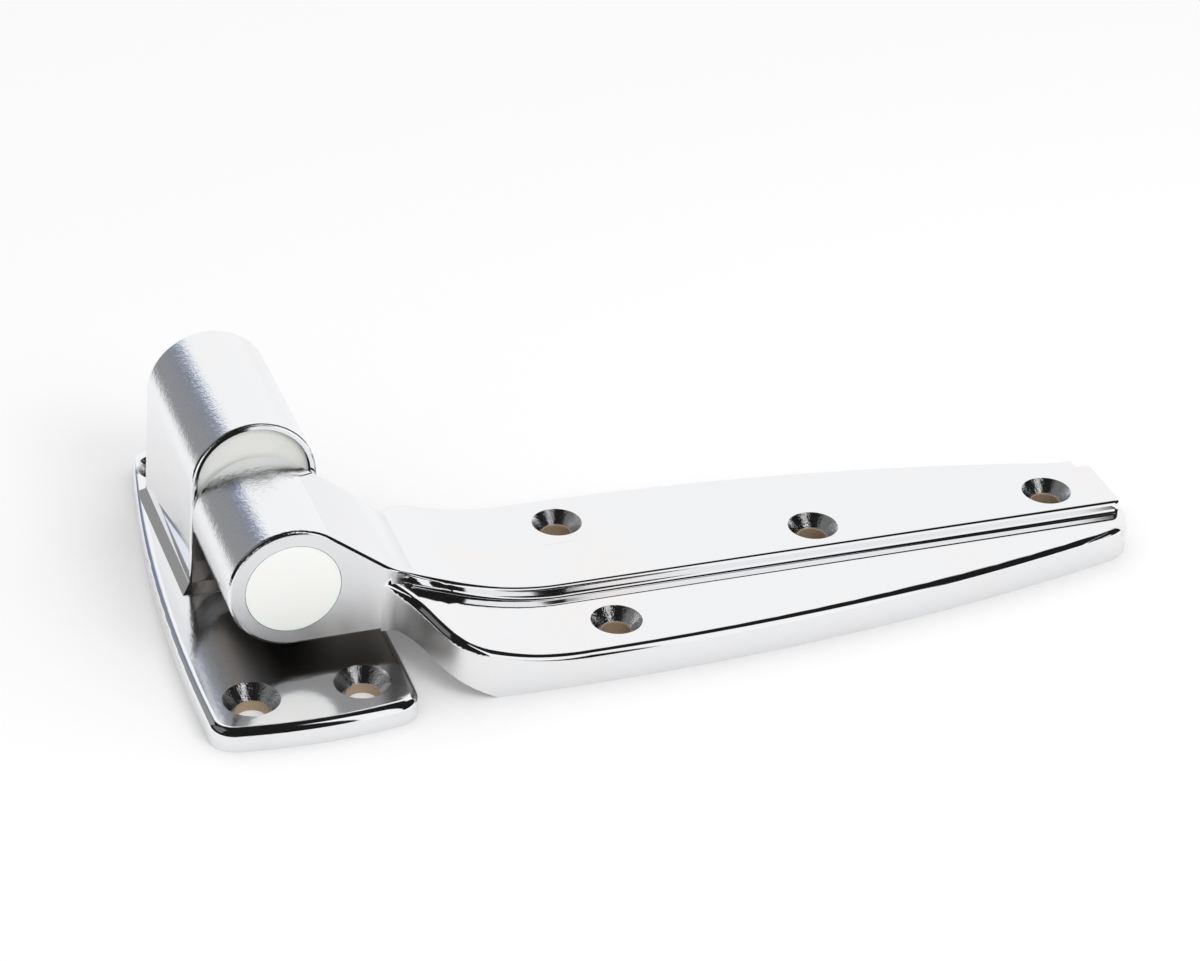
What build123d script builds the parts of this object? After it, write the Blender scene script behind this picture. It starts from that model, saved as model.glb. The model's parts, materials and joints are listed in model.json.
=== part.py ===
from build123d import *
import math
import os

# A chromed flush hinge for a cold-room door, lying on its mounting faces.
# X runs along the strap away from the pin, Y along the pin into the flange's housing, Z up from the mounting faces.
# The origin is on the mounting face, under the pin, on the strap's centre line. Lengths are millimetres, angles degrees.

# Pin and barrel
AXIS_HEIGHT = 27.0  # pin centre above the mounting faces
BARREL_RADIUS = 16.1
BARREL_BACK_Y = 21.1  # barrel end that faces the flange's housing
BARREL_LENGTH = 36.7
BARREL_BORE_RADIUS = 12.0
PIN_RADIUS = 6.35
PIN_BOTTOM_DEPTH = 41.0  # how far the pin reaches behind the housing's mouth
PIN_CHAMFER = 1.0
RUNNING_FIT = 0.05  # radial gap between the pin and what turns or slides on it

# Strap: arm, foot and rib
RIB_TOP = 12.35
STEP_TOP = 9.2
ARM_SLOPE = 37.0  # fall of the straight stretch between barrel and foot
ARM_BLEND_RADIUS = 70.0  # hollow curve from the arm into the rib
FOOT_START_X = 46.0
FOOT_END_X = 227.2
FOOT_HALF_WIDTH = 35.9
FOOT_WIDEST_X = 72.0
FOOT_SIDE_RADIUS = 635.0  # long curve of each side of the foot
FOOT_CORNER_RADIUS = 11.0
UNDERCUT_X = 26.0  # where the arm's level underside starts to slope down to the foot
FLARE_START_X = 22.0
FLARE_MID_X = 33.9
FLARE_MID_HALF_WIDTH = 28.8
FLARE_END_X = 44.0
RIB_HALF_WIDTH = 9.9
RIB_SHOULDER_X = 22.0  # the rib is as wide as the barrel up to here
RIB_NEAR_NECK_X = 28.0
RIB_NEAR_NECK_Y = -13.5
RIB_FAR_NECK_X = 36.0
RIB_FAR_NECK_Y = 15.0
RIB_STRAIGHT_X = 72.0
RIB_END_X = 225.6
RIB_CORNER_RADIUS = 2.0
RIB_EDGE_RADIUS = 1.1
RIB_COVE_RADIUS = 1.0  # hollow radius where the rib's walls meet the steps
RIB_COVE_START_X = 31.0
STEP_EDGE_RADIUS = 1.9

# Strap screw holes
PAIR_X = 80.4  # the two holes side by side
PAIR_SPACING = 47.0
RIB_HOLE_X = 142.0
RIB_HOLE_SPACING = 66.2
STRAP_HOLE_RADIUS = 3.6
STRAP_SINK_RADIUS = 6.5
SINK_ANGLE = 82.0

# Strap underside
STRAP_WALL = 3.0  # thickness left under the rib and the steps
STRAP_WEB = 2.4
STRAP_CELL = 33.0  # pitch of the cross webs
STRAP_BOSS_RADIUS = 6.4
CHANNEL_HALF_WIDTH = 6.0
STRAP_CORE_START_X = 64.0
STRAP_EDGE_WALL = 4.2

# Flange plate
PLATE_THICKNESS = 6.0
PLATE_NEAR_Y = -42.3
PLATE_FAR_Y = 93.0
PLATE_HALF_WIDTH = 26.3
PLATE_WIDEST_Y = -14.0
PLATE_SIDE_RADIUS = 540.0
PLATE_END_RADIUS = 130.0
PLATE_CORNER_RADIUS = 6.5
PLATE_EDGE_RADIUS = 2.3
FLANGE_HOLE_RADIUS = 3.9
FLANGE_SINK_RADIUS = 7.1
NEAR_HOLES_Y = -28.4
NEAR_HOLES_SPACING = 27.6
FAR_HOLES_Y = 81.5
FAR_HOLES_SPACING = 19.0

# Flange housing
HOUSING_MOUTH_GAP = 0.7  # between the housing's mouth and the strap's barrel
HOUSING_LENGTH = 49.4
HOUSING_ARCH_RADIUS = 15.9
HOUSING_ARCH_HEIGHT = 35.6  # centre of the round top above the mounting face
HOUSING_DRAFT = 2.1
HOUSING_EDGE_RADIUS = 1.0
MOUTH_EDGE_RADIUS = 0.7
LIP_WALL = 1.5
LIP_DEPTH = 1.4
SILL_HEIGHT = 2.6
POCKET_DEPTH = 4.2
POCKET_LEDGE = 0.2  # how far the bearing's own pocket lies inside the mouth's
SKIRT = 2.1  # height and width of the sloping skirt round the housing's foot
CORE_HALF_WIDTH = 11.0
CORE_LENGTH = 23.0
CORE_HEIGHT = 14.0
CORE_WALL = 4.0  # between the hollow back and the bearing's pocket

# Cam bearings and plug
CAM_RISE = 8.0  # climb in a quarter turn
CAM_TIP_FLAT = 1.6  # height taken off each sharp lobe tip
CAM_CLEARANCE = 0.3
STEP_CLEARANCE_ANGLE = 1.5  # turned off each end of a lower lobe
CAM_VALLEY_Y = 20.4  # lowest point of the lower cam's slope
LOWER_CAM_LENGTH = 16.0  # seated length in the housing
LOWER_CAM_GAP = 0.1
CAM_BOSS_RADIUS = 11.4
PLUG_LENGTH = 5.0
PLUG_GAP = 0.15
SEAT_GAP = 0.05

# Worked out from the sizes above
BARREL_FRONT_Y = BARREL_BACK_Y - BARREL_LENGTH
MOUTH_Y = BARREL_BACK_Y + HOUSING_MOUTH_GAP
HOUSING_BACK_Y = MOUTH_Y + HOUSING_LENGTH
BEARING_FACE_Y = MOUTH_Y + LIP_DEPTH
BEARING_BACK_Y = BEARING_FACE_Y + LOWER_CAM_LENGTH
STEP_DROP = RIB_TOP - STEP_TOP
LOBE_HEIGHT = 2 * CAM_RISE
PIN_FRONT_Y = BARREL_FRONT_Y + PLUG_LENGTH + CAM_CLEARANCE
PIN_BACK_Y = MOUTH_Y + PIN_BOTTOM_DEPTH
REACH = 60.0  # wide enough to pass right through a leaf
OVERRUN = 1.0  # how far a cutting shape passes beyond what it cuts
TOUCH = 0.05  # an edge or corner nearer than this lies on a place


def facing(y):
    """Plane at the given Y with X to the right and Z up, facing the viewer at -Y."""
    return Plane(origin=(0, y, 0), x_dir=(1, 0, 0), z_dir=(0, -1, 0))


def along_y(y_low, y_high, face):
    """Prism of an X-Z outline between two values of Y."""
    return extrude(facing(y_high) * face, y_high - y_low)


def round_bar(y_low, y_high, radius, z=AXIS_HEIGHT):
    """Cylinder along Y."""
    return along_y(y_low, y_high, Pos(0, z) * Circle(radius))


def block(x_low, x_high, y_low, y_high, z_low, z_high):
    """Box between six limits."""
    size = (x_high - x_low, y_high - y_low, z_high - z_low)
    return Pos(x_low, y_low, z_low) * Box(*size, align=(Align.MIN, Align.MIN, Align.MIN))


def screw_hole(x, y, top, hole_radius, sink_radius):
    """Through hole with a countersink whose rim lies at the given height."""
    slope = math.tan(math.radians(SINK_ANGLE / 2))
    depth = (sink_radius - hole_radius) / slope
    through = Pos(x, y, top / 2) * Cylinder(hole_radius, top + 2 * OVERRUN)
    cone = Cone(hole_radius, sink_radius + OVERRUN * slope, depth + OVERRUN)
    return through + Pos(x, y, top + (OVERRUN - depth) / 2) * cone


def arm_profile(drop):
    """Radius, blend and joints of the arm's top line, lowered by the given drop."""
    slope = math.radians(ARM_SLOPE)
    radius = BARREL_RADIUS - drop
    floor = RIB_TOP - drop
    blend = ARM_BLEND_RADIUS + drop
    leave = (radius * math.sin(slope), AXIS_HEIGHT + radius * math.cos(slope))
    join_z = floor + blend * (1 - math.cos(slope))
    join = (leave[0] + (leave[1] - join_z) / math.tan(slope), join_z)
    level = (join[0] + blend * math.sin(slope), floor)
    return blend, leave, join, level


def arm_top(x, drop):
    """Height of the arm's top line at the given X, from the straight stretch to the tip."""
    blend, leave, join, level = arm_profile(drop)
    if x < join[0]:
        return leave[1] - (x - leave[0]) * math.tan(math.radians(ARM_SLOPE))
    if x < level[0]:
        return level[1] + blend - math.sqrt(blend**2 - (level[0] - x) ** 2)
    return level[1]


def arm_outline(drop):
    """X-Z outline of the arm and foot, its top lowered by the given drop."""
    blend, leave, join, level = arm_profile(drop)
    floor = level[1]
    far_x = FOOT_END_X + REACH
    underside = AXIS_HEIGHT - BARREL_RADIUS
    below = Polyline(
        level, (far_x, floor), (far_x, 0), (FOOT_START_X, 0), (UNDERCUT_X, underside), (0, underside),
    )
    round_end = ThreePointArc((0, underside), (-BARREL_RADIUS, AXIS_HEIGHT), leave)
    return make_face([below, round_end, Line(leave, join), RadiusArc(join, level, -blend)])


def foot_plan():
    """Outline of the strap seen from above, from the barrel to the tip."""
    def half_width(x):
        return FOOT_HALF_WIDTH - FOOT_SIDE_RADIUS + math.sqrt(FOOT_SIDE_RADIUS**2 - (x - FOOT_WIDEST_X) ** 2)

    side_slope = (FOOT_WIDEST_X - FLARE_END_X) / FOOT_SIDE_RADIUS
    side_start = (FLARE_END_X, half_width(FLARE_END_X))
    tip = (FOOT_END_X, half_width(FOOT_END_X))

    def flare(start_y, sign):
        return Spline(
            (FLARE_START_X, start_y), (FLARE_MID_X, sign * FLARE_MID_HALF_WIDTH), (FLARE_END_X, sign * side_start[1]),
            tangents=[(1, 0), (1, sign * side_slope)],
        )

    plan = make_face([
        flare(BARREL_BACK_Y, 1),
        RadiusArc(side_start, tip, FOOT_SIDE_RADIUS),
        Line(tip, (tip[0], -tip[1])),
        RadiusArc((tip[0], -tip[1]), (side_start[0], -side_start[1]), FOOT_SIDE_RADIUS),
        flare(BARREL_FRONT_Y, -1),
        Polyline((FLARE_START_X, BARREL_FRONT_Y), (-REACH, BARREL_FRONT_Y), (-REACH, BARREL_BACK_Y),
                 (FLARE_START_X, BARREL_BACK_Y)),
    ])
    return round_corners(plan, FOOT_END_X, FOOT_CORNER_RADIUS)


def round_corners(plan, x, radius):
    """The outline with its corners at the given X rounded."""
    return fillet([corner for corner in plan.vertices() if abs(corner.X - x) < TOUCH], radius)


def rib_plan():
    """Outline of the barrel, arm and rib seen from above."""
    def side(start_y, neck, end_y):
        return Spline((RIB_SHOULDER_X, start_y), neck, (RIB_STRAIGHT_X, end_y), tangents=[(1, 0), (1, 0)])

    plan = make_face([
        side(BARREL_BACK_Y, (RIB_FAR_NECK_X, RIB_FAR_NECK_Y), RIB_HALF_WIDTH),
        Polyline((RIB_STRAIGHT_X, RIB_HALF_WIDTH), (RIB_END_X, RIB_HALF_WIDTH), (RIB_END_X, -RIB_HALF_WIDTH),
                 (RIB_STRAIGHT_X, -RIB_HALF_WIDTH)),
        side(BARREL_FRONT_Y, (RIB_NEAR_NECK_X, RIB_NEAR_NECK_Y), -RIB_HALF_WIDTH),
        Polyline((RIB_SHOULDER_X, BARREL_FRONT_Y), (-REACH, BARREL_FRONT_Y), (-REACH, BARREL_BACK_Y),
                 (RIB_SHOULDER_X, BARREL_BACK_Y)),
    ])
    return round_corners(plan, RIB_END_X, RIB_CORNER_RADIUS)


def top_edges(shape, drop, start_x):
    """Edges that lie on the arm's top surface at the given drop, from the given X to the tip."""
    def on_top(edge):
        middle = edge @ 0.5
        cut_across = abs((edge @ 0).X - (edge @ 1).X) < TOUCH and middle.X < RIB_END_X - TOUCH
        return middle.X > start_x and abs(middle.Z - arm_top(middle.X, drop)) < TOUCH and not cut_across

    return [edge for edge in shape.edges() if on_top(edge)]


def barrel_edges(shape):
    """Round edges of the barrel's two ends."""
    arcs = shape.edges().filter_by(GeomType.CIRCLE)
    return [edge for edge in arcs if abs(edge.radius - BARREL_RADIUS) < TOUCH]


def upper_layer():
    """Barrel, arm and rib, their edges still sharp."""
    return along_y(-REACH, REACH, arm_outline(0)) & extrude(rib_plan(), REACH)


def rib_cove():
    """Strip along the rib's foot that rounds out the corner between its walls and the steps."""
    deck = along_y(-REACH, REACH, arm_outline(STEP_DROP))
    deck &= block(RIB_COVE_START_X - OVERRUN, FOOT_END_X + OVERRUN, -REACH, REACH, 0, REACH)
    both = deck + upper_layer()
    foot = [edge for edge in top_edges(both, STEP_DROP, RIB_COVE_START_X) if abs((edge @ 0.5).Y) < REACH / 2]
    reach_y = RIB_FAR_NECK_Y + 2 * RIB_COVE_RADIUS
    strip = along_y(-reach_y, reach_y, arm_outline(STEP_DROP - RIB_COVE_RADIUS))
    strip &= block(RIB_COVE_START_X, RIB_END_X - RIB_CORNER_RADIUS, -REACH, REACH, STEP_TOP / 2, REACH)
    return fillet(foot, RIB_COVE_RADIUS) & strip


def strap_outside():
    """The strap's outside form: barrel, arm, foot with its two steps, and rib."""
    lower = along_y(-REACH, REACH, arm_outline(STEP_DROP)) & extrude(foot_plan(), REACH)
    lower &= block(FLARE_START_X, FOOT_END_X + OVERRUN, -REACH, REACH, -OVERRUN, REACH)
    lower = fillet(top_edges(lower, STEP_DROP, FLARE_START_X - OVERRUN), STEP_EDGE_RADIUS)
    upper = upper_layer()
    upper = fillet(top_edges(upper, 0, BARREL_RADIUS / 2) + barrel_edges(upper), RIB_EDGE_RADIUS)
    return upper + lower + rib_cove()


def strap_holes():
    """Centre and rim height of each of the strap's screw holes."""
    pair = [(PAIR_X, side * PAIR_SPACING / 2, STEP_TOP) for side in (-1, 1)]
    return pair + [(RIB_HOLE_X, 0, RIB_TOP), (RIB_HOLE_X + RIB_HOLE_SPACING, 0, RIB_TOP)]


def strap_cores():
    """Hollows in the strap's back, parted by cross webs, side webs and a boss round each hole."""
    inside = extrude(offset(foot_plan(), -STRAP_EDGE_WALL), REACH)
    side_start = CHANNEL_HALF_WIDTH + STRAP_WEB
    cells = []
    x = STRAP_CORE_START_X
    while x + STRAP_CELL / 2 < FOOT_END_X - STRAP_EDGE_WALL:
        x_end = x + STRAP_CELL - STRAP_WEB
        cells.append(block(x, x_end, -CHANNEL_HALF_WIDTH, CHANNEL_HALF_WIDTH, -1, RIB_TOP - STRAP_WALL))
        cells.append(block(x, x_end, side_start, REACH, -1, STEP_TOP - STRAP_WALL))
        cells.append(block(x, x_end, -REACH, -side_start, -1, STEP_TOP - STRAP_WALL))
        x += STRAP_CELL
    cores = Part() + cells
    cores &= inside + Pos(0, 0, -1) * inside
    for x, y, _ in strap_holes():
        cores -= Pos(x, y, 0) * Cylinder(STRAP_BOSS_RADIUS, 2 * REACH)
    return cores


def strap():
    """Cast strap with its bore, screw holes and hollow back."""
    body = strap_outside()
    body -= round_bar(BARREL_FRONT_Y - 1, BARREL_BACK_Y + 1, BARREL_BORE_RADIUS)
    body -= strap_cores()
    for x, y, top in strap_holes():
        body -= screw_hole(x, y, top, STRAP_HOLE_RADIUS, STRAP_SINK_RADIUS)
    return body


def plate_outline():
    """Outline of the flange plate on the mounting face."""
    side_centre_x = PLATE_HALF_WIDTH - PLATE_SIDE_RADIUS

    def half_width(y):
        return side_centre_x + math.sqrt(PLATE_SIDE_RADIUS**2 - (y - PLATE_WIDEST_Y) ** 2)

    near_sag = PLATE_END_RADIUS - math.sqrt(PLATE_END_RADIUS**2 - PLATE_HALF_WIDTH**2)
    near_y = PLATE_NEAR_Y + near_sag
    near = (half_width(near_y), near_y)
    far = (half_width(PLATE_FAR_Y), PLATE_FAR_Y)
    right = RadiusArc(near, far, -PLATE_SIDE_RADIUS)
    left = RadiusArc((-far[0], far[1]), (-near[0], near[1]), -PLATE_SIDE_RADIUS)
    bottom = RadiusArc((-near[0], near[1]), near, -PLATE_END_RADIUS)
    outline = make_face([right, Line(far, (-far[0], far[1])), left, bottom])
    return fillet(outline.vertices(), PLATE_CORNER_RADIUS)


def tombstone(inset, floor_z):
    """X-Z outline of the housing, drawn in by the given inset, down to the given height."""
    radius = HOUSING_ARCH_RADIUS - inset
    draft = math.radians(HOUSING_DRAFT)
    left = (-radius * math.cos(draft), HOUSING_ARCH_HEIGHT + radius * math.sin(draft))
    fall = left[1] - floor_z
    foot = left[0] - fall * math.tan(draft)
    arch = ThreePointArc(left, (0, HOUSING_ARCH_HEIGHT + radius), (-left[0], left[1]))
    return make_face([arch, Polyline((-left[0], left[1]), (-foot, floor_z), (foot, floor_z), left)])


def housing_skirt():
    """Low skirt round the housing's foot, sloping down to the plate on its sides and under the mouth."""
    wall = HOUSING_ARCH_RADIUS + (HOUSING_ARCH_HEIGHT - PLATE_THICKNESS) * math.tan(math.radians(HOUSING_DRAFT))
    y_low = MOUTH_Y - SKIRT
    foot = Rectangle(2 * (wall + SKIRT), HOUSING_BACK_Y - y_low)
    return extrude(Pos(0, (y_low + HOUSING_BACK_Y) / 2, PLATE_THICKNESS) * foot, SKIRT, taper=45)


def bearing_outline(gap):
    """X-Z outline of the lower bearing: round over the housing's arch, round under the pin, flat sided."""
    radius = HOUSING_ARCH_RADIUS - LIP_WALL - POCKET_LEDGE - gap
    top = Pos(0, HOUSING_ARCH_HEIGHT) * Circle(radius)
    bottom = Pos(0, AXIS_HEIGHT) * Circle(radius)
    middle = Pos(0, (AXIS_HEIGHT + HOUSING_ARCH_HEIGHT) / 2) * Rectangle(2 * radius, HOUSING_ARCH_HEIGHT - AXIS_HEIGHT)
    return top + bottom + middle


def flange():
    """Cast flange: plate, housing, bearing pocket, pin bore, screw holes and hollow back."""
    plate = extrude(plate_outline(), PLATE_THICKNESS)
    plate = fillet([edge for edge in plate.edges() if (edge @ 0.5).Z > PLATE_THICKNESS - TOUCH], PLATE_EDGE_RADIUS)
    housing = along_y(MOUTH_Y, HOUSING_BACK_Y, tombstone(0, PLATE_THICKNESS / 2))
    for y, radius in ((HOUSING_BACK_Y, HOUSING_EDGE_RADIUS), (MOUTH_Y, MOUTH_EDGE_RADIUS)):
        rim = housing.edges().filter_by_position(Axis.Y, y - TOUCH, y + TOUCH)
        housing = fillet([edge for edge in rim if (edge @ 0.5).Z > PLATE_THICKNESS], radius)
    body = plate + housing + housing_skirt()
    body -= along_y(MOUTH_Y - 1, MOUTH_Y + POCKET_DEPTH, tombstone(LIP_WALL, PLATE_THICKNESS + SILL_HEIGHT))
    body -= along_y(MOUTH_Y, BEARING_BACK_Y, bearing_outline(0))
    body -= round_bar(MOUTH_Y, PIN_BACK_Y + CAM_CLEARANCE, PIN_RADIUS + RUNNING_FIT)
    core_y = BEARING_BACK_Y + CORE_WALL
    body -= block(-CORE_HALF_WIDTH, CORE_HALF_WIDTH, core_y, core_y + CORE_LENGTH, -1, CORE_HEIGHT)
    for side in (-1, 1):
        body -= screw_hole(side * NEAR_HOLES_SPACING / 2, NEAR_HOLES_Y, PLATE_THICKNESS, FLANGE_HOLE_RADIUS, FLANGE_SINK_RADIUS)
        body -= screw_hole(side * FAR_HOLES_SPACING / 2, FAR_HOLES_Y, PLATE_THICKNESS, FLANGE_HOLE_RADIUS, FLANGE_SINK_RADIUS)
    return body


def sector(inner, outer, trim):
    """Half ring round the pin, from +X through +Z to -X, less the given angle at each end."""
    turn = math.radians(trim)
    across, up = math.cos(turn), math.sin(turn)

    def arc(radius):
        return ThreePointArc((radius * across, radius * up), (0, radius), (-radius * across, radius * up))

    right = Line((inner * across, inner * up), (outer * across, outer * up))
    left = Line((-inner * across, inner * up), (-outer * across, outer * up))
    return make_face([arc(inner), right, arc(outer), left])


def cam_slope(valley_y, radius, trim, height):
    """One helical lobe: it climbs towards -Y as it turns from +X through +Z, and is cut flat at the given height."""
    centre = (0, valley_y, AXIS_HEIGHT)
    across = Plane(origin=centre, x_dir=(1, 0, 0), z_dir=(0, -1, 0))
    start = across * sector(PIN_RADIUS / 2, 2 * radius, 0)
    turning = Solid.extrude_linear_with_rotation(start.face(), centre, (0, -LOBE_HEIGHT, 0), 180)
    return extrude(across * sector(PIN_RADIUS, radius, trim), height) & turning


def both_lobes(lobe):
    """The given lobe and its twin on the other side of the pin."""
    return [lobe, lobe.rotate(Axis((0, 0, AXIS_HEIGHT), (0, 1, 0)), 180)]


def lower_cam():
    """Bearing seated in the housing, with the boss and two lobes that lift the strap."""
    body = along_y(BEARING_FACE_Y, BEARING_BACK_Y, bearing_outline(LOWER_CAM_GAP))
    body += round_bar(CAM_VALLEY_Y, BEARING_FACE_Y, CAM_BOSS_RADIUS)
    lobe = cam_slope(CAM_VALLEY_Y, CAM_BOSS_RADIUS, STEP_CLEARANCE_ANGLE, LOBE_HEIGHT - CAM_TIP_FLAT)
    body += both_lobes(lobe)
    return body - round_bar(CAM_VALLEY_Y - LOBE_HEIGHT, BEARING_BACK_Y + 1, PIN_RADIUS + RUNNING_FIT)


def upper_cam():
    """Bearing inside the strap's barrel, its two lobes lying on the lower ones."""
    valley_y = CAM_VALLEY_Y - CAM_CLEARANCE
    y_low = BARREL_FRONT_Y + PLUG_LENGTH
    body = round_bar(y_low, valley_y - CAM_TIP_FLAT, BARREL_BORE_RADIUS - SEAT_GAP)
    body -= both_lobes(cam_slope(valley_y, BARREL_RADIUS, 0, LOBE_HEIGHT))
    return body - round_bar(y_low - 1, valley_y, PIN_RADIUS + RUNNING_FIT)


def hinge_pin():
    """Steel pin, bevelled at both ends."""
    pin = round_bar(PIN_FRONT_Y, PIN_BACK_Y, PIN_RADIUS)
    return chamfer(pin.edges().filter_by(GeomType.CIRCLE), PIN_CHAMFER)


def end_plug():
    """Disc that closes the near end of the strap's barrel."""
    return round_bar(BARREL_FRONT_Y, BARREL_FRONT_Y + PLUG_LENGTH, BARREL_BORE_RADIUS - PLUG_GAP)


if __name__ == "__main__":
    os.makedirs("parts", exist_ok=True)
    for make in (flange, strap, lower_cam, upper_cam, hinge_pin, end_plug):
        export_step(make(), f"parts/{make.__name__}.step")
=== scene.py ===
"""A chromed cam-rise flush hinge: finishes for its castings, bearings and pin, a pale studio and the camera."""

import json
import math

import bmesh
import bpy
import numpy as np
from bpy.props import FloatProperty, FloatVectorProperty, PointerProperty
from mathutils import Matrix, Vector


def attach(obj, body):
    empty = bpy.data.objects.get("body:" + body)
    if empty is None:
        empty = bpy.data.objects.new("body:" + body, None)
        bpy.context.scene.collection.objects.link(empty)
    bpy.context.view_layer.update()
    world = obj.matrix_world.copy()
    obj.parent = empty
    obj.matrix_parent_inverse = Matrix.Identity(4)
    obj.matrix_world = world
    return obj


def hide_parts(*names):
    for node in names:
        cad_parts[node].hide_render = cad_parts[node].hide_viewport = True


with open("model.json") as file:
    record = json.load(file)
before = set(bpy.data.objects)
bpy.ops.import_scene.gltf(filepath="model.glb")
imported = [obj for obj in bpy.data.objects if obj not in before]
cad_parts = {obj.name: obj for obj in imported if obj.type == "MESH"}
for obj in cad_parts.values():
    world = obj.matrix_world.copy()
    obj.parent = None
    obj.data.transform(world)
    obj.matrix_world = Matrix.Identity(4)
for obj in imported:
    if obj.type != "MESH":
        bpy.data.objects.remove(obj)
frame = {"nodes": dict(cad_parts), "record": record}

bl_info = {
    "name": "Flush Hinge",
    "version": (1, 0, 0),
    "blender": (4, 5, 0),
    "location": "View3D > Sidebar > Hinge",
    "description": "Dresses a chromed flush hinge and lights it in a pale studio",
    "category": "Add Mesh",
}

MM_PER_M = 1000


def hole_rows():
    """Centre and radius, in metres, of each screw hole in the record, by the casting that holds it."""
    rows = {"flange": [], "strap": []}
    for mount in frame["record"]["mounts"]:
        if mount["kind"] != "bolt_pattern":
            continue
        body = mount["name"].split("_")[0]
        x, y, _ = mount["pos_m"]
        half_x = mount["dims"].get("spacing_x_mm", 0) / MM_PER_M / 2
        half_y = mount["dims"].get("spacing_y_mm", 0) / MM_PER_M / 2
        radius = mount["dims"]["hole_r_mm"] / MM_PER_M
        rows[body] += [(x - half_x, y - half_y, radius), (x + half_x, y + half_y, radius)]
    return rows


HOLES = hole_rows()


class PlatingSettings(bpy.types.PropertyGroup):
    """The chrome plating and the casting under it."""

    tint: FloatVectorProperty(
        name="Tint", description="Colour of the polished plating", subtype="COLOR", size=3, min=0, max=1,
        default=(0.885, 0.89, 0.905),
    )
    polish: FloatProperty(
        name="Polish", description="Roughness of the polished faces", default=0.045, min=0, max=1,
    )
    satin: FloatProperty(
        name="Satin", description="Roughness of the side walls, which are linished and not polished",
        default=0.4, min=0, max=1,
    )
    # Painted reflection: a warmer tint that cloud noise mixes into the plating's colour, standing in for soft
    # reflections in the chrome
    cloud_reflection: FloatVectorProperty(
        name="Reflection clouds", description="Colour of the plating's faint clouds", subtype="COLOR", size=3, min=0, max=1,
        default=(0.9, 0.885, 0.88),
    )
    ripple: FloatProperty(
        name="Ripple", description="Scale of all the plating's relief, in millimetres",
        default=0.012, min=0, max=0.1,
    )
    # Painted shade: a dark brown for the faces that point down, where shade falls under the castings; their
    # unpolished finish is the higher roughness given to them
    underside_shade: FloatVectorProperty(
        name="Underside", description="Colour of the unpolished undersides", subtype="COLOR", size=3, min=0, max=1,
        default=(0.27, 0.25, 0.23),
    )
    bare_metal: FloatVectorProperty(
        name="Bare metal", description="Colour inside the screw holes, where the plating is thin", subtype="COLOR",
        size=3, min=0, max=1, default=(0.5, 0.38, 0.27),
    )


class BearingSettings(bpy.types.PropertyGroup):
    """The white bearings and the plug."""

    tint: FloatVectorProperty(
        name="Tint", description="Colour of the plastic", subtype="COLOR", size=3, min=0, max=1,
        default=(0.965, 0.97, 0.93),
    )
    roughness: FloatProperty(name="Roughness", description="Roughness of the plastic", default=0.36, min=0, max=1)


class StudioSettings(bpy.types.PropertyGroup):
    """Camera, floor and light."""

    lens: FloatProperty(name="Lens", description="Focal length in millimetres", default=109.39, min=10)
    ambient: FloatProperty(
        name="Ambient", description="Light that reaches matt surfaces from all round", default=0.82, min=0,
    )
    lift: FloatProperty(
        name="Floor lift", description="White added to the floor as the camera and the plating see it",
        default=0.16, min=0,
    )


def settings():
    """The scene's three groups of settings."""
    scene = bpy.context.scene
    return scene.hinge_plating, scene.hinge_bearings, scene.hinge_studio


class NodeBuilder:
    """Adds shader nodes to a tree and joins them."""

    def __init__(self, tree):
        self.tree = tree
        self.tree.nodes.clear()

    def add(self, kind, inputs=None):
        """A node with its inputs set or linked."""
        node = self.tree.nodes.new(kind)
        for name, value in (inputs or {}).items():
            self.feed(node.inputs[name], value)
        return node

    def feed(self, socket, value):
        """Sets a socket, or links it where the value is another socket."""
        if isinstance(value, bpy.types.NodeSocket):
            self.tree.links.new(value, socket)
        else:
            socket.default_value = value

    def math(self, operation, a, b=0.0, clamp=False):
        """Result of one arithmetic step."""
        node = self.tree.nodes.new("ShaderNodeMath")
        node.operation = operation
        node.use_clamp = clamp
        self.feed(node.inputs[0], a)
        self.feed(node.inputs[1], b)
        return node.outputs[0]

    def ramp(self, value, low, high):
        """Smooth rise from 0 at low to 1 at high."""
        node = self.tree.nodes.new("ShaderNodeMapRange")
        node.interpolation_type = "SMOOTHSTEP"
        self.feed(node.inputs["Value"], value)
        self.feed(node.inputs["From Min"], low)
        self.feed(node.inputs["From Max"], high)
        return node.outputs["Result"]

    def band(self, value, low, high, soft):
        """1 between low and high, in degrees, falling to 0 over the soft edge outside them."""
        rise = self.ramp(value, math.radians(low - soft), math.radians(low))
        fall = self.ramp(value, math.radians(high + soft), math.radians(high))
        return self.math("MULTIPLY", rise, fall)

    # The mix node's sockets share their names, so the next two find them by number
    def mix(self, factor, a, b):
        """Blend of two numbers."""
        node = self.tree.nodes.new("ShaderNodeMix")
        self.feed(node.inputs[0], factor)
        self.feed(node.inputs[2], a)
        self.feed(node.inputs[3], b)
        return node.outputs[0]

    def mix_colour(self, factor, a, b):
        """Blend of two colours."""
        node = self.tree.nodes.new("ShaderNodeMix")
        node.data_type = "RGBA"
        self.feed(node.inputs[0], factor)
        self.feed(node.inputs[6], a)
        self.feed(node.inputs[7], b)
        return node.outputs[2]

    def noise(self, place, scale, detail=2.0, roughness=0.5):
        """Noise from 0 to 1 with features one part in scale of a metre apart."""
        node = self.add("ShaderNodeTexNoise", {
            "Vector": place, "Scale": float(scale), "Detail": detail, "Roughness": roughness,
        })
        return node.outputs["Fac"]

    def bump(self, relief, distance):
        """Normal of a relief whose unit is the given distance in metres."""
        return self.add("ShaderNodeBump", {"Height": relief, "Distance": distance, "Strength": 1.0}).outputs[0]

    def surface(self, inputs):
        """Ends a material with a principled shader that has the given inputs."""
        shader = self.add("ShaderNodeBsdfPrincipled", inputs)
        self.add("ShaderNodeOutputMaterial", {"Surface": shader.outputs[0]})


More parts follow.
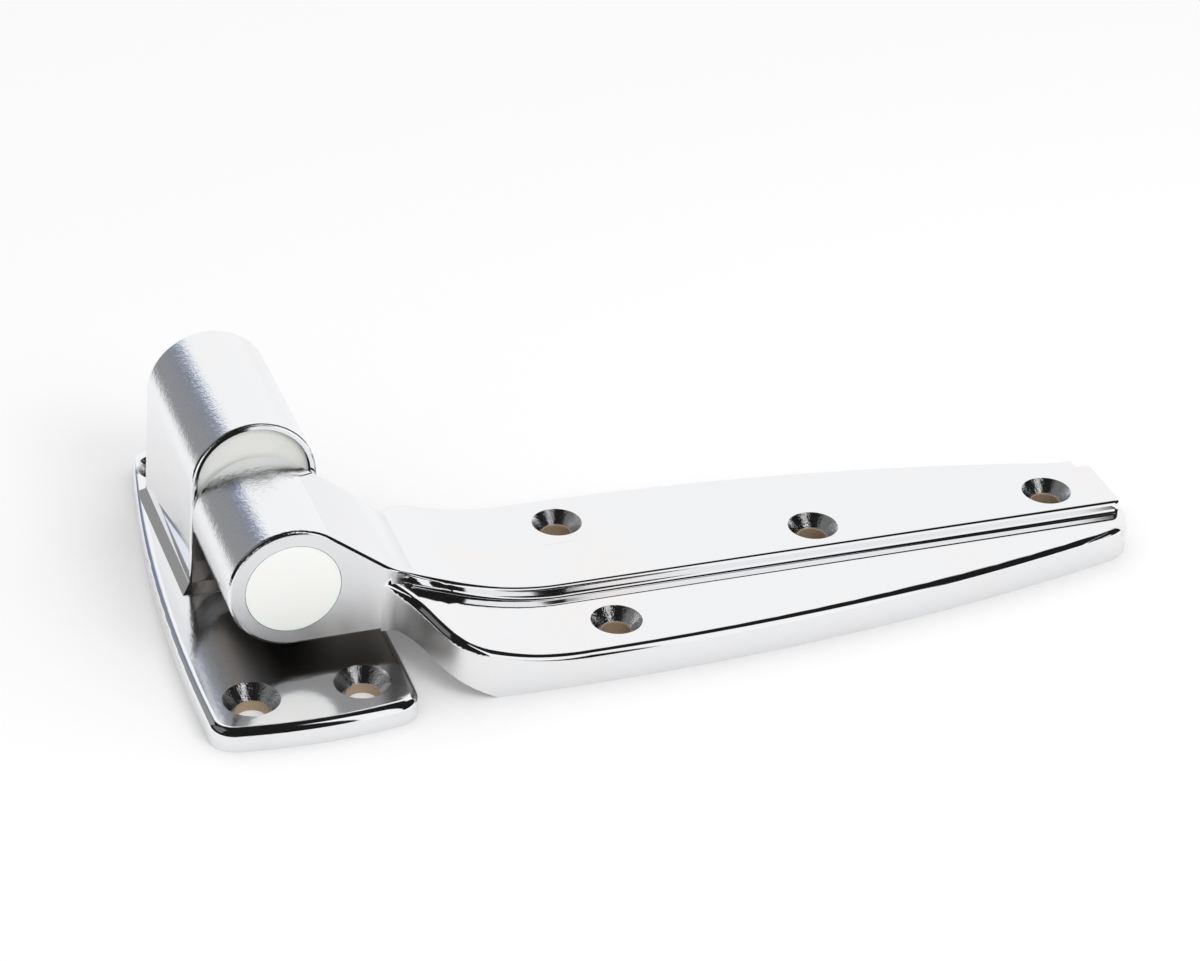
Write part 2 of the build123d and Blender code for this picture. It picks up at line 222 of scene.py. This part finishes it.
def rgba(colour):
    """A colour with full alpha."""
    return (*colour, 1.0)


def new_material(name):
    """An empty node material and its builder."""
    material = bpy.data.materials.new(name)
    material.use_nodes = True
    return material, NodeBuilder(material.node_tree)


def hole_distance(b, place, holes):
    """How far a point is outside the nearest screw hole's wall, in metres."""
    nearest = None
    for x, y, radius in holes:
        dx = b.math("SUBTRACT", place.outputs["X"], x)
        dy = b.math("SUBTRACT", place.outputs["Y"], y)
        squared = b.math("ADD", b.math("MULTIPLY", dx, dx), b.math("MULTIPLY", dy, dy))
        outside = b.math("SUBTRACT", b.math("SQRT", squared), radius)
        nearest = outside if nearest is None else b.math("MINIMUM", nearest, outside)
    return nearest


# Where the plating's masks go from 0 to 1. By the normal: the size of its Z (level), its Z, or the size of its Y
WALL_LEVEL = (0.35, 0.08)
UNDER_Z = (-0.3, -0.7)
SINK_LEVEL = (0.98, 0.9)
SOFT_LEVEL = (0.9, 0.98)
CAST_ALONG_Y = (0.95, 0.8)
# By the distance outside a screw hole's wall, in metres
BORE_REACH = (0.00035, 0.0001)
SINK_REACH = (0.0036, 0.0028)
# By the cloud noise, whose patches are painted reflections in the plating's colour
REFLECTION_CLOUD = (0.5, 0.72)
CLOUD_MIDDLE = 0.5

# The plating's noises: scale, detail and roughness
RIPPLE_NOISE = (620, 3.0, 0.55)
GRAIN_NOISE = (2300, 2.0, 0.5)
HAIRLINE_NOISE = (2600, 3.0, 0.5)
CLOUD_NOISE = (38, 2.0, 0.5)
HAIRLINE_STRETCH = (0.12, 0.12, 1.0)

# Roughness of the faces that are neither fully polished nor satin, the clouds' share in it, and the bare metal
SOFT_ROUGHNESS = 0.13
CAST_LEAST_ROUGHNESS = 0.05
CAST_MOST_ROUGHNESS = 0.13
SINK_ROUGHNESS = 0.06
BORE_ROUGHNESS = 0.48
UNDER_ROUGHNESS = 0.42
CLOUD_ROUGHNESS = 0.03
BORE_METALLIC = 0.4

# Relief of each kind of face, as multiples of the setting
POLISHED_RIPPLE = 0.06
SOFT_RIPPLE = 2.5
CAST_RIPPLE = 6.0
SINK_RIPPLE = 9.0
WALL_HAIRLINES = 1.2
CAST_SPECKS = 4.5
SINK_SPECKS = 8.0


def plated_material(name, holes, cast_mask, satin_mask, soft_mask):
    """Chrome on a die casting: polished, with masks for its satin, softer and cast faces, thin in its holes."""
    plating, _, _ = settings()
    material, b = new_material(name)
    coordinates = b.add("ShaderNodeTexCoord")
    point = coordinates.outputs["Object"]
    place = b.add("ShaderNodeSeparateXYZ", {"Vector": point})
    normal = b.add("ShaderNodeSeparateXYZ", {"Vector": coordinates.outputs["Normal"]})
    level = b.math("ABSOLUTE", normal.outputs["Z"])
    along_y = b.math("ABSOLUTE", normal.outputs["Y"])
    outside = hole_distance(b, place, holes)

    wall = b.math("MULTIPLY", b.ramp(level, *WALL_LEVEL), satin_mask(b, place))
    under = b.ramp(normal.outputs["Z"], *UNDER_Z)
    bore = b.ramp(outside, *BORE_REACH)
    sink = b.math("MULTIPLY", b.ramp(outside, *SINK_REACH), b.ramp(level, *SINK_LEVEL))
    cast = b.math("MULTIPLY", cast_mask(b, place), b.ramp(along_y, *CAST_ALONG_Y))
    soft = b.math("MULTIPLY", soft_mask(b, place), b.ramp(level, *SOFT_LEVEL))

    ripple = b.noise(point, *RIPPLE_NOISE)
    grain = b.noise(point, *GRAIN_NOISE)
    stretched = b.add("ShaderNodeMapping", {"Vector": point, "Scale": HAIRLINE_STRETCH})
    hairline = b.noise(stretched.outputs[0], *HAIRLINE_NOISE)
    cloud = b.noise(point, *CLOUD_NOISE)

    rough = b.mix(wall, b.mix(soft, plating.polish, SOFT_ROUGHNESS), plating.satin)
    rough = b.mix(cast, rough, b.mix(grain, CAST_LEAST_ROUGHNESS, CAST_MOST_ROUGHNESS))
    rough = b.mix(bore, b.mix(sink, rough, SINK_ROUGHNESS), BORE_ROUGHNESS)
    rough = b.mix(under, rough, UNDER_ROUGHNESS)
    drift = b.math("MULTIPLY", b.math("SUBTRACT", cloud, CLOUD_MIDDLE), CLOUD_ROUGHNESS)
    rough = b.math("ADD", rough, drift, clamp=True)

    height = b.mix(sink, b.mix(cast, b.mix(soft, POLISHED_RIPPLE, SOFT_RIPPLE), CAST_RIPPLE), SINK_RIPPLE)
    waves = b.math("MULTIPLY", ripple, height)
    lines = b.math("MULTIPLY", hairline, b.math("MULTIPLY", wall, WALL_HAIRLINES))
    speckled = b.math("MAXIMUM", b.math("MULTIPLY", cast, CAST_SPECKS), b.math("MULTIPLY", sink, SINK_SPECKS))
    specks = b.math("MULTIPLY", grain, speckled)
    relief = b.math("ADD", waves, b.math("ADD", lines, specks))

    # Painted reflection: the cloud noise blends the warmer tint into the plating's colour in patches
    cloud_reflection = b.ramp(cloud, *REFLECTION_CLOUD)
    colour = b.mix_colour(cloud_reflection, rgba(plating.tint), rgba(plating.cloud_reflection))
    # Painted shade: the faces that point down take the dark underside colour
    colour = b.mix_colour(under, colour, rgba(plating.underside_shade))
    colour = b.mix_colour(bore, colour, rgba(plating.bare_metal))
    b.surface({
        "Base Color": colour, "Roughness": rough, "Metallic": b.mix(bore, 1.0, BORE_METALLIC),
        "Normal": b.bump(relief, plating.ripple / MM_PER_M),
    })
    return material


# Where the castings' masks go from 0 to 1, in metres
HOUSING_Z = (0.014, 0.024)
PLATE_WALL_Z = (0.0065, 0.0055)
PLATE_TOP_Z = (0.0075, 0.0065)
BARREL_X = (0.014, -0.004)
FOOT_WALL_Z = (0.0092, 0.008)
FOOT_WALL_Y = (0.0148, 0.0165)
ARM_WALL_X = (0.03, 0.024)


def housing_mask(b, place):
    """1 on the flange's housing, 0 on its plate."""
    return b.ramp(place.outputs["Z"], *HOUSING_Z)


def plate_rim_mask(b, place):
    """1 on the plate's outer wall, 0 above it."""
    return b.ramp(place.outputs["Z"], *PLATE_WALL_Z)


def plate_top_mask(b, place):
    """1 on the plate's top, which is less polished than the strap's."""
    return b.ramp(place.outputs["Z"], *PLATE_TOP_Z)


def no_mask(b, place):
    """0 everywhere."""
    return 0.0


def barrel_mask(b, place):
    """1 on the strap's barrel, 0 on its polished arm and foot."""
    return b.ramp(place.outputs["X"], *BARREL_X)


def foot_rim_mask(b, place):
    """1 on the foot's outer wall, the flare and the barrel's near face, 0 on the rib's polished wall."""
    low = b.ramp(place.outputs["Z"], *FOOT_WALL_Z)
    near = b.ramp(place.outputs["X"], *ARM_WALL_X)
    wide = b.ramp(b.math("ABSOLUTE", place.outputs["Y"]), *FOOT_WALL_Y)
    return b.math("MAXIMUM", b.math("MAXIMUM", low, near), wide)


# The bearings' plastic: noise scales, relief and scatter in metres
FLOW_SCALE = 90
FLOW_LIGHTER = 1.04
PLASTIC_GRAIN_SCALE = 2400
PLASTIC_GRAIN_ROUGHNESS = 0.06
PLASTIC_RELIEF = 0.00001
SCATTER_WEIGHT = 0.25
SCATTER_DEPTH = 0.002


def bearing_material():
    """Warm white moulded plastic with a faint flow in its colour and a soft surface grain."""
    _, bearings, _ = settings()
    material, b = new_material("bearing_plastic")
    point = b.add("ShaderNodeTexCoord").outputs["Object"]
    flow = b.noise(point, FLOW_SCALE)
    grain = b.noise(point, PLASTIC_GRAIN_SCALE)
    light = tuple(min(1.0, c * FLOW_LIGHTER) for c in bearings.tint)
    rough = b.math("ADD", b.math("MULTIPLY", grain, PLASTIC_GRAIN_ROUGHNESS), bearings.roughness)
    b.surface({
        "Base Color": b.mix_colour(flow, rgba(bearings.tint), rgba(light)), "Roughness": rough,
        "Subsurface Weight": SCATTER_WEIGHT, "Subsurface Scale": SCATTER_DEPTH,
        "Normal": b.bump(grain, PLASTIC_RELIEF),
    })
    return material


# The pin's steel: its marks run round it, and their relief is in metres
STEEL = (0.56, 0.56, 0.57)
MARKS_SCALE = 5200
MARKS_DETAIL = 3.0
MARKS_STRETCH = (0.02, 1.0, 0.02)
MARKS_RELIEF = 0.000004
MARKS_ROUGHNESS = 0.12
STEEL_ROUGHNESS = 0.2


def pin_material():
    """Ground steel with fine marks round the pin."""
    material, b = new_material("pin_steel")
    point = b.add("ShaderNodeTexCoord").outputs["Object"]
    turned = b.add("ShaderNodeMapping", {"Vector": point, "Scale": MARKS_STRETCH})
    marks = b.noise(turned.outputs[0], MARKS_SCALE, MARKS_DETAIL)
    rough = b.math("ADD", b.math("MULTIPLY", marks, MARKS_ROUGHNESS), STEEL_ROUGHNESS)
    b.surface({
        "Base Color": rgba(STEEL), "Metallic": 1.0, "Roughness": rough, "Normal": b.bump(marks, MARKS_RELIEF),
    })
    return material


def dress(node, material):
    """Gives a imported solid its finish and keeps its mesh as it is."""
    mesh = frame["nodes"][node].data
    mesh.materials.clear()
    mesh.materials.append(material)


# Sizes of the castings' outer surfaces and rounded edges, in metres, as the solids have them
AXIS_HEIGHT = 0.027
BARREL_RADIUS = 0.0161
ARM_SLOPE = math.radians(37)
ARM_BLEND_RADIUS = 0.07
RIB_TOP = 0.01235
STEP_TOP = 0.0092
RIB_ROUND = 0.0011
STEP_ROUND = 0.0019
COVE_ROUND = 0.001
PLATE_TOP = 0.006
PLATE_ROUND = 0.0023
NEAR = 0.00003  # a point nearer than this lies on a surface
UPRIGHT = 0.002  # the most that an upright wall's normal may point up or down
ROUND_FIT = 0.03  # how far a solved normal's length may be from 1
ROUND_AGREES = math.cos(math.radians(40))  # a packed normal further off than this belongs to another surface
LEAST_SPREAD = 0.01  # keeps the division below from growing where the two surfaces are nearly parallel
SAME_PLACE = 6  # decimals of a metre to which two points count as one
TRIANGLE_PASSES = 3


def along(a, b):
    """Row by row product of two lists of vectors."""
    return (a * b).sum(1)


def flat_surface(points, height):
    """Depth below a level surface, and its normal, for each point."""
    return height - points[:, 2], np.tile((0.0, 0.0, 1.0), (len(points), 1))


def arm_surface(points, drop):
    """Depth below the strap's top surface lowered by the given drop, and its normal, for each point."""
    x, z = points[:, 0], points[:, 2]
    sine, cosine = math.sin(ARM_SLOPE), math.cos(ARM_SLOPE)
    radius = BARREL_RADIUS - drop
    floor = RIB_TOP - drop
    blend = ARM_BLEND_RADIUS + drop
    leave_x, leave_z = radius * sine, AXIS_HEIGHT + radius * cosine
    join_x = leave_x + (leave_z - floor - blend * (1 - cosine)) * cosine / sine
    level_x = join_x + blend * sine
    barrel = np.stack([x, 0 * x, z - AXIS_HEIGHT], 1)
    hollow = np.stack([level_x - x, 0 * x, floor + blend - z], 1)
    to_pin = np.linalg.norm(barrel, axis=1)
    to_centre = np.linalg.norm(hollow, axis=1)
    slope = np.tile((sine, 0.0, cosine), (len(points), 1))
    upright = np.tile((0.0, 0.0, 1.0), (len(points), 1))
    parts = [x < leave_x, x < join_x, x < level_x]
    sloping = (leave_x - x) * sine + (leave_z - z) * cosine
    depth = np.select(parts, [radius - to_pin, sloping, to_centre - blend], floor - z)
    columns = [part[:, None] for part in parts]
    normal = np.select(columns, [barrel / to_pin[:, None], slope, hollow / to_centre[:, None]], upright)
    return depth, normal


def outline(points, normals, surface, radius, axis):
    """Plan points and outward normals where a rounded edge meets the wall, in order round the piece."""
    depth, up = surface
    meets = (np.abs(normals[:, 2]) < UPRIGHT) & (np.abs(depth - radius * (1 - along(normals, up))) < NEAR)
    rows = np.hstack([points[meets, :2], normals[meets, :2]])
    rows = rows[np.unique(rows.round(SAME_PLACE), axis=0, return_index=True)[1]]
    rows = rows[np.argsort(rows[:, axis])]
    low = rows[:, 1 - axis] < 0
    return np.vstack([rows[low], rows[~low][::-1]])


def inside_outline(points, rows):
    """Distance inside an outline, and its outward normal, for each point."""
    ends = np.roll(rows, -1, axis=0)
    chord = ends[:, :2] - rows[:, :2]
    length = np.linalg.norm(chord, axis=1)
    real = length > NEAR
    rows, ends, chord, length = rows[real], ends[real], chord[real], length[real]
    bulge = along(ends[:, 2:] - rows[:, 2:], chord) / 2
    offset = points[:, None, :2] - rows[None, :, :2]
    t = np.clip((offset * chord).sum(2) / length**2, 0, 1)[:, :, None]
    out = rows[:, 2:] * (1 - t) + ends[:, 2:] * t
    out /= np.linalg.norm(out, axis=2, keepdims=True)
    gap = rows[:, :2] + chord * t + out * bulge[:, None] * t * (1 - t) - points[:, None, :2]
    nearest = np.linalg.norm(gap, axis=2).argmin(1)
    pick = np.arange(len(points)), nearest
    normal = np.hstack([out[pick], np.zeros((len(points), 1))])
    return (gap[pick] * out[pick]).sum(1), normal


def round_normals(normals, depth, up, inside, out, radius):
    """Puts the exact normal of a rolled edge of the given radius on each point that lies on it."""
    rise, reach = 1 - depth / radius, 1 - inside / radius
    lean = along(up, out)
    spread = np.maximum(1 - lean**2, LEAST_SPREAD)
    exact = up * ((rise - lean * reach) / spread)[:, None] + out * ((reach - lean * rise) / spread)[:, None]
    size = np.linalg.norm(exact, axis=1)
    slack = NEAR / radius
    on = (rise > -slack) & (reach > -slack) & (depth > -NEAR) & (inside > -NEAR) & (np.abs(size - 1) < ROUND_FIT)
    on &= along(exact, normals) > ROUND_AGREES * size
    normals[on] = exact[on] / size[on, None]


def strap_rounds(points, normals):
    """Exact normals on the rounded edges of rib, barrel and steps, and in the hollow beside the rib."""
    upper, lower = arm_surface(points, 0), arm_surface(points, RIB_TOP - STEP_TOP)
    rib = inside_outline(points, outline(points, normals, upper, RIB_ROUND, 0))
    foot = inside_outline(points, outline(points, normals, lower, STEP_ROUND, 0))
    round_normals(normals, *upper, *rib, RIB_ROUND)
    round_normals(normals, *lower, *foot, STEP_ROUND)
    round_normals(normals, -lower[0], lower[1], -rib[0], rib[1], COVE_ROUND)


def flange_rounds(points, normals):
    """Exact normals on the plate's rounded edge."""
    top = flat_surface(points, PLATE_TOP)
    plate = inside_outline(points, outline(points, normals, top, PLATE_ROUND, 1))
    round_normals(normals, *top, *plate, PLATE_ROUND)


def even_triangles(mesh):
    """Turns long thin triangles within each surface into compact ones; the mesh's points stay where they are."""
    b = bmesh.new()
    b.from_mesh(mesh)
    for _ in range(TRIANGLE_PASSES):
        inner = [edge for edge in b.edges if len(edge.link_faces) == 2]
        bmesh.ops.beautify_fill(b, faces=b.faces[:], edges=inner, method="ANGLE")
    b.to_mesh(mesh)
    b.free()


def dress_casting(node, material, rounds):
    """Stands a finished copy of a packed casting in its place, with exact normals on its rounded edges."""
    mesh = frame["nodes"][node].data.copy()
    mesh.name = node + "_plated"
    points = np.array([vertex.co for vertex in mesh.vertices])
    normals = np.zeros_like(points)
    normals[[corner.vertex_index for corner in mesh.loops]] = [corner.vector for corner in mesh.corner_normals]
    rounds(points, normals)
    even_triangles(mesh)
    mesh.shade_smooth()
    mesh.normals_split_custom_set_from_vertices(normals.tolist())
    mesh.materials.clear()
    mesh.materials.append(material)
    piece = bpy.data.objects.new(mesh.name, mesh)
    bpy.context.scene.collection.objects.link(piece)
    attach(piece, node)
    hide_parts(node)


class HINGE_OT_castings(bpy.types.Operator):
    """Dress the flange and the strap in chrome plating"""

    bl_idname = "hinge.castings"
    bl_label = "Castings"

    def execute(self, context):
        flange_finish = plated_material(
            "flange_plating", HOLES["flange"], housing_mask, plate_rim_mask, plate_top_mask,
        )
        strap_finish = plated_material("strap_plating", HOLES["strap"], barrel_mask, foot_rim_mask, no_mask)
        dress_casting("flange", flange_finish, flange_rounds)
        dress_casting("strap", strap_finish, strap_rounds)
        return {"FINISHED"}


class HINGE_OT_bearings(bpy.types.Operator):
    """Dress the two cam bearings and the end plug in white plastic"""

    bl_idname = "hinge.bearings"
    bl_label = "Bearings and plug"

    def execute(self, context):
        plastic = bearing_material()
        for node in ("lower_cam", "upper_cam", "end_plug"):
            dress(node, plastic)
        return {"FINISHED"}


class HINGE_OT_pin(bpy.types.Operator):
    """Dress the pin in ground steel"""

    bl_idname = "hinge.pin"
    bl_label = "Pin"

    def execute(self, context):
        dress("hinge_pin", pin_material())
        return {"FINISHED"}


# The camera as fitted to the photograph: place in metres, angles in degrees, sensor in millimetres
CAMERA_PLACE = (-0.18904, -0.72787, 0.50769)
CAMERA_YAW = 20.49
CAMERA_PITCH = 31.3
CAMERA_ROLL = 2.87
CAMERA_NEAREST = 0.01
SENSOR_WIDTH = 36.0


def make_camera(lens):
    """The photograph's camera."""
    yaw, pitch, roll = (math.radians(v) for v in (CAMERA_YAW, CAMERA_PITCH, CAMERA_ROLL))
    forward = Vector((math.sin(yaw) * math.cos(pitch), math.cos(yaw) * math.cos(pitch), -math.sin(pitch)))
    level = Vector((math.cos(yaw), -math.sin(yaw), 0))
    upright = level.cross(forward)
    right = level * math.cos(roll) + upright * math.sin(roll)
    up = upright * math.cos(roll) - level * math.sin(roll)
    data = bpy.data.cameras.new("photo_camera")
    data.lens = lens
    data.sensor_width = SENSOR_WIDTH
    data.clip_start = CAMERA_NEAREST
    camera = bpy.data.objects.new("photo_camera", data)
    camera.matrix_world = Matrix.Translation(CAMERA_PLACE) @ Matrix((right, up, -forward)).transposed().to_4x4()
    bpy.context.scene.collection.objects.link(camera)
    bpy.context.scene.camera = camera


WHITE = (1.0, 1.0, 1.0)

# The white sheet's edges and its gap under the hinge, in metres, and its colour
SHEET_LEFT = -0.12
SHEET_RIGHT = 0.7
SHEET_FRONT = -0.2
SHEET_BACK = 1.3
SHEET_GAP = 0.00002
SHEET_COLOUR = (0.86, 0.86, 0.865)


def make_floor(lift):
    """A plain white sheet under the hinge, which keeps its shadow."""
    material, b = new_material("floor_white")
    path = b.add("ShaderNodeLightPath")
    seen = b.math("MAXIMUM", path.outputs["Is Camera Ray"], path.outputs["Is Glossy Ray"])
    seen = b.math("MAXIMUM", seen, path.outputs["Is Transmission Ray"])
    matt = b.add("ShaderNodeBsdfDiffuse", {"Color": rgba(SHEET_COLOUR)})
    glow = b.add("ShaderNodeEmission", {"Color": rgba(WHITE), "Strength": b.math("MULTIPLY", seen, lift)})
    total = b.add("ShaderNodeAddShader")
    b.feed(total.inputs[0], matt.outputs[0])
    b.feed(total.inputs[1], glow.outputs[0])
    b.add("ShaderNodeOutputMaterial", {"Surface": total.outputs[0]})
    corners = [
        (SHEET_LEFT, SHEET_FRONT), (SHEET_RIGHT, SHEET_FRONT), (SHEET_RIGHT, SHEET_BACK), (SHEET_LEFT, SHEET_BACK),
    ]
    mesh = bpy.data.meshes.new("studio_floor")
    mesh.from_pydata([(x, y, -SHEET_GAP) for x, y in corners], [], [(0, 1, 2, 3)])
    mesh.materials.append(material)
    floor = bpy.data.objects.new("studio_floor", mesh)
    bpy.context.scene.collection.objects.link(floor)


# The room that the chrome mirrors. Each light has bearings, from +Y toward +X, and heights, both as low, high and
# soft edge in degrees, and a strength
ROOM_LIGHTS = (
    ((-17, 72, 6), (-90, 54, 7), 1.0),  # the wall behind
    ((143, 159.2, 1.2), (-90, 61, 4), 1.0),  # the strip in front
    ((-105, -60, 12), (24, 62, 10), 0.16),  # the faint light on the left
    ((-48, -15, 5), (-30, 34, 6), 0.3),  # the dim corner beside the wall
)
ROOM_DARK = 0.012
# The bluish part of that corner
COOL_BEARINGS = (-27, -18, 4)
COOL_HEIGHTS = (-20, 34, 6)
COOL_TINT = (0.72, 0.81, 1.0)


def make_world(ambient):
    """White all round for the camera; for the chrome a dark room with a white wall behind and a strip in front."""
    world = bpy.data.worlds.new("studio_world")
    world.use_nodes = True
    bpy.context.scene.world = world
    b = NodeBuilder(world.node_tree)
    path = b.add("ShaderNodeLightPath")
    coordinates = b.add("ShaderNodeTexCoord")
    way = b.add("ShaderNodeSeparateXYZ", {"Vector": coordinates.outputs["Generated"]})
    height = b.math("ARCSINE", way.outputs["Z"])
    bearing = b.math("ARCTAN2", way.outputs["X"], way.outputs["Y"])
    light = ROOM_DARK
    for bearings, heights, power in ROOM_LIGHTS:
        patch = b.math("MULTIPLY", b.band(bearing, *bearings), b.band(height, *heights))
        light = b.math("MAXIMUM", light, b.math("MULTIPLY", patch, power))
    cool = b.math("MULTIPLY", b.band(bearing, *COOL_BEARINGS), b.band(height, *COOL_HEIGHTS))
    glossy = b.math("MAXIMUM", path.outputs["Is Glossy Ray"], path.outputs["Is Transmission Ray"])
    strength = b.mix(glossy, ambient, light)
    strength = b.mix(path.outputs["Is Camera Ray"], strength, 1.0)
    tint = b.mix_colour(b.math("MULTIPLY", cool, glossy), rgba(WHITE), rgba(COOL_TINT))
    background = b.add("ShaderNodeBackground", {"Color": tint, "Strength": strength})
    b.add("ShaderNodeOutputWorld", {"Surface": background.outputs[0]})


# The lamp's place, the point it is aimed at and its side, in metres, and its power in watts
LAMP_PLACE = (0.4, -0.85, 0.8)
LAMP_AIM = (0.05, 0.0, 0.01)
LAMP_SIDE = 0.6
LAMP_POWER = 4.5


def make_lamp():
    """A soft square lamp in front, which lights the hinge and isn't mirrored in the plating."""
    data = bpy.data.lights.new("front_lamp", "AREA")
    data.size = LAMP_SIDE
    data.energy = LAMP_POWER
    lamp = bpy.data.objects.new("front_lamp", data)
    lamp.location = LAMP_PLACE
    lamp.rotation_euler = (Vector(LAMP_AIM) - Vector(LAMP_PLACE)).to_track_quat("-Z", "Y").to_euler()
    lamp.visible_glossy = False
    bpy.context.scene.collection.objects.link(lamp)


class HINGE_OT_stage(bpy.types.Operator):
    """Set up the floor, the light and the photograph's camera"""

    bl_idname = "hinge.stage"
    bl_label = "Studio"

    def execute(self, context):
        _, _, studio = settings()
        context.scene.view_settings.view_transform = "Standard"
        make_floor(studio.lift)
        make_world(studio.ambient)
        make_lamp()
        make_camera(studio.lens)
        return {"FINISHED"}


class HINGE_PT_panel(bpy.types.Panel):
    """Lists the hinge's pieces and their settings"""

    bl_idname = "HINGE_PT_panel"
    bl_label = "Flush hinge"
    bl_space_type = "VIEW_3D"
    bl_region_type = "UI"
    bl_category = "Hinge"

    def draw(self, context):
        for group in settings():
            for name in group.__annotations__:
                self.layout.prop(group, name)
        for step in STEPS:
            self.layout.operator(step.bl_idname)


STEPS = (HINGE_OT_castings, HINGE_OT_bearings, HINGE_OT_pin, HINGE_OT_stage)
GROUPS = {"hinge_plating": PlatingSettings, "hinge_bearings": BearingSettings, "hinge_studio": StudioSettings}
CLASSES = (*GROUPS.values(), *STEPS, HINGE_PT_panel)


def register():
    for cls in CLASSES:
        bpy.utils.register_class(cls)
    for name, group in GROUPS.items():
        setattr(bpy.types.Scene, name, PointerProperty(type=group))


def unregister():
    for name in GROUPS:
        delattr(bpy.types.Scene, name)
    for cls in reversed(CLASSES):
        bpy.utils.unregister_class(cls)


def main():
    """Builds the dressed hinge and its studio."""
    register()
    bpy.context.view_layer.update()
    bpy.ops.hinge.castings()
    bpy.ops.hinge.bearings()
    bpy.ops.hinge.pin()
    bpy.ops.hinge.stage()


if __name__ == "__main__":
    main()
